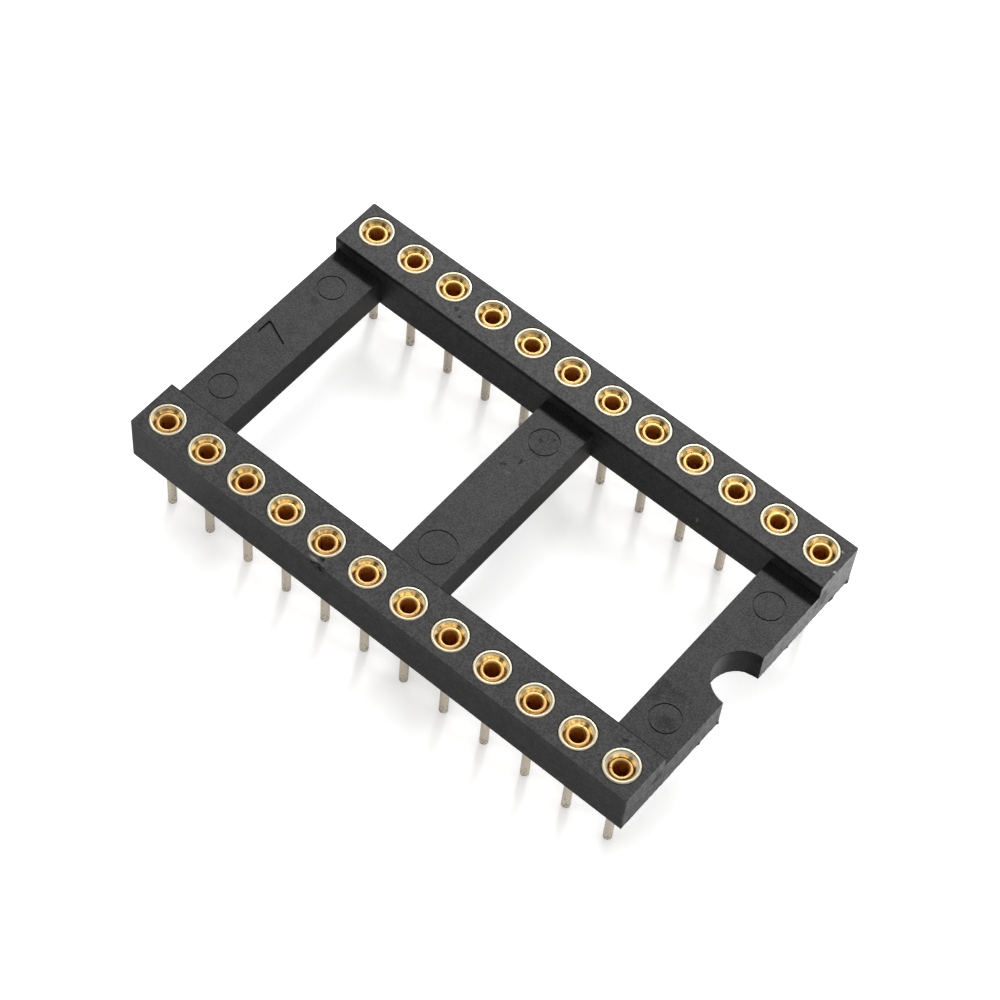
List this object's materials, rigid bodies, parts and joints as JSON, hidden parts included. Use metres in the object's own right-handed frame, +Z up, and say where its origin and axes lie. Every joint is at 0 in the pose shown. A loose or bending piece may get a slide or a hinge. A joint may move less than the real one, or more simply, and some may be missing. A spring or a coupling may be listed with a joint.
{
  "type": "ic socket",
  "caption": "Open-frame dual in-line IC socket: a black moulded ladder frame with two rows of turned round contacts, gold spring clips inside and thin solder tails below.",
  "frame": {"origin": "centre of the contact grid, on the board face that the contacts' shoulders seat on", "axes": "+X along the rows towards the end with the half-round notch, +Z up from the board"},
  "size_m": [0.0304, 0.0178, 0.0074],
  "materials": {
    "housing_plastic": "fine matte moulded",
    "sleeve_plating": "turned, pale plating",
    "clip_gold": "gold plated"
  },
  "bodies": {
    "root": {"housing": "housing_plastic", "sleeve_01": "sleeve_plating", "sleeve_02": "sleeve_plating", "sleeve_03": "sleeve_plating", "sleeve_04": "sleeve_plating", "sleeve_05": "sleeve_plating", "sleeve_06": "sleeve_plating", "sleeve_07": "sleeve_plating", "sleeve_08": "sleeve_plating", "sleeve_09": "sleeve_plating", "sleeve_10": "sleeve_plating", "sleeve_11": "sleeve_plating", "sleeve_12": "sleeve_plating", "sleeve_13": "sleeve_plating", "sleeve_14": "sleeve_plating", "sleeve_15": "sleeve_plating", "sleeve_16": "sleeve_plating", "sleeve_17": "sleeve_plating", "sleeve_18": "sleeve_plating", "sleeve_19": "sleeve_plating", "sleeve_20": "sleeve_plating", "sleeve_21": "sleeve_plating", "sleeve_22": "sleeve_plating", "sleeve_23": "sleeve_plating", "sleeve_24": "sleeve_plating", "clip_01": "clip_gold", "clip_02": "clip_gold", "clip_03": "clip_gold", "clip_04": "clip_gold", "clip_05": "clip_gold", "clip_06": "clip_gold", "clip_07": "clip_gold", "clip_08": "clip_gold", "clip_09": "clip_gold", "clip_10": "clip_gold", "clip_11": "clip_gold", "clip_12": "clip_gold", "clip_13": "clip_gold", "clip_14": "clip_gold", "clip_15": "clip_gold", "clip_16": "clip_gold", "clip_17": "clip_gold", "clip_18": "clip_gold", "clip_19": "clip_gold", "clip_20": "clip_gold", "clip_21": "clip_gold", "clip_22": "clip_gold", "clip_23": "clip_gold", "clip_24": "clip_gold"}
  },
  "joints": []
}
